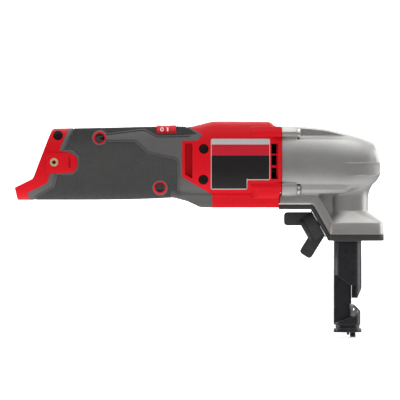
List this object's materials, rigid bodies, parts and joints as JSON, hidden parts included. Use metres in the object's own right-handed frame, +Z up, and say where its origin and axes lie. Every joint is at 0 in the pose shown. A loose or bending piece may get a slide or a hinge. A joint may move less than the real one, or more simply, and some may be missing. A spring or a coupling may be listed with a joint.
{
  "type": "cordless nibbler",
  "caption": "Cordless inline sheet metal nibbler with a battery socket, a cast gear case and a turning die holder clamped by a wing knob.",
  "frame": {"origin": "centre of the die end's flat face, on the punch axis", "axes": "+X from the grip to the nose, +Z up along the punch axis, screw heads on the -Y side"},
  "size_m": [0.265, 0.0574, 0.1553],
  "materials": {
    "red_plastic": "moulded, fine satin texture",
    "grey_overmould": "soft overmould with a fine knurl",
    "cast_metal": "fine-grained satin casting",
    "black_plastic": "moulded, matt",
    "blackened_steel": "black oxide",
    "bright_steel": "ground",
    "dark_steel": "dark phosphate",
    "brass": "turned",
    "copper": "enamelled copper wire",
    "plate": "printed plate in plain bands",
    "board": "solder mask"
  },
  "bodies": {
    "root": {"right_housing": "red_plastic", "left_housing": "red_plastic", "right_grip": "grey_overmould", "left_grip": "grey_overmould", "housing_screw_1": "dark_steel", "housing_screw_2": "dark_steel", "housing_screw_3": "dark_steel", "housing_screw_4": "dark_steel", "housing_screw_5": "dark_steel", "right_side_plate": "plate", "left_side_plate": "plate", "right_clip_insert": "brass", "left_clip_insert": "brass", "terminal_block": "black_plastic", "terminal_blade_1": "brass", "terminal_blade_2": "brass", "terminal_blade_3": "brass", "control_board": "board", "board_choke": "copper", "switch_module": "black_plastic", "motor_can": "bright_steel", "motor_end_cap": "black_plastic", "motor_magnet_1": "dark_steel", "motor_magnet_2": "dark_steel", "rear_motor_bearing": "bright_steel", "front_motor_bearing": "bright_steel", "gear_plate": "bright_steel", "ring_gear": "bright_steel", "crank_bearing_1": "bright_steel", "crank_bearing_2": "bright_steel", "guide_bush": "brass", "gear_case": "cast_metal", "case_screw_1": "dark_steel", "case_screw_2": "dark_steel", "case_screw_3": "dark_steel", "case_screw_4": "dark_steel", "lower_guard": "black_plastic", "knob_washer": "bright_steel"},
    "slide": {"power_slide": "red_plastic"},
    "rotor": {"motor_shaft": "bright_steel", "armature": "copper", "commutator": "copper", "cooling_fan": "black_plastic", "sun_pinion": "bright_steel"},
    "crank": {"planet_carrier": "bright_steel", "crank_shaft": "bright_steel", "eccentric_bearing": "bright_steel"},
    "planet_1": {"planet_gear_1": "bright_steel"},
    "planet_2": {"planet_gear_2": "bright_steel"},
    "planet_3": {"planet_gear_3": "bright_steel"},
    "plunger": {"plunger": "bright_steel"},
    "knob": {"clamp_knob": "black_plastic", "knob_stud": "bright_steel"},
    "die": {"die_holder": "blackened_steel", "cutting_die": "bright_steel", "die_ring": "blackened_steel", "large_die_screw": "dark_steel", "small_die_screw": "dark_steel"},
    "punch": {"punch": "bright_steel"}
  },
  "joints": [
    {"name": "power_slide_travel", "type": "slide", "parent": "root", "child": "slide", "axis": [1, 0, 0], "range_m": [0, 0.004]},
    {"name": "crank_spin", "type": "hinge", "parent": "root", "child": "crank", "pos_m": [-0.03, 0, 0.1218], "axis": [1, 0, 0], "continuous": true},
    {"name": "rotor_spin", "type": "hinge", "parent": "root", "child": "rotor", "pos_m": [-0.075, 0, 0.1218], "axis": [1, 0, 0], "continuous": true},
    {"name": "planet_1_spin", "type": "hinge", "parent": "crank", "child": "planet_1", "pos_m": [-0.043, 0.0096, 0.1218], "axis": [1, 0, 0], "continuous": true},
    {"name": "planet_2_spin", "type": "hinge", "parent": "crank", "child": "planet_2", "pos_m": [-0.043, -0.0048, 0.13011], "axis": [1, 0, 0], "continuous": true},
    {"name": "planet_3_spin", "type": "hinge", "parent": "crank", "child": "planet_3", "pos_m": [-0.043, -0.0048, 0.11349], "axis": [1, 0, 0], "continuous": true},
    {"name": "plunger_stroke", "type": "slide", "parent": "root", "child": "plunger", "axis": [0, 0, 1], "range_m": [0, 0.005]},
    {"name": "punch_stroke", "type": "slide", "parent": "die", "child": "punch", "axis": [0, 0, 1], "range_m": [0, 0.005]},
    {"name": "knob_turn", "type": "hinge", "parent": "root", "child": "knob", "pos_m": [-0.01813, 0, 0.0797], "axis": [-0.8729, 0, -0.4879], "range_deg": [0, 180]},
    {"name": "die_turn", "type": "hinge", "parent": "root", "child": "die", "pos_m": [0, 0, 0.08], "axis": [0, 0, 1], "continuous": true}
  ],
  "couplings": [
    {"joint": "rotor_spin", "follows": "crank_spin", "ratio": 5.3333},
    {"joint": "planet_1_spin", "follows": "crank_spin", "ratio": -2.6},
    {"joint": "planet_2_spin", "follows": "crank_spin", "ratio": -2.6},
    {"joint": "planet_3_spin", "follows": "crank_spin", "ratio": -2.6},
    {"joint": "punch_stroke", "follows": "plunger_stroke", "ratio": 1}
  ]
}
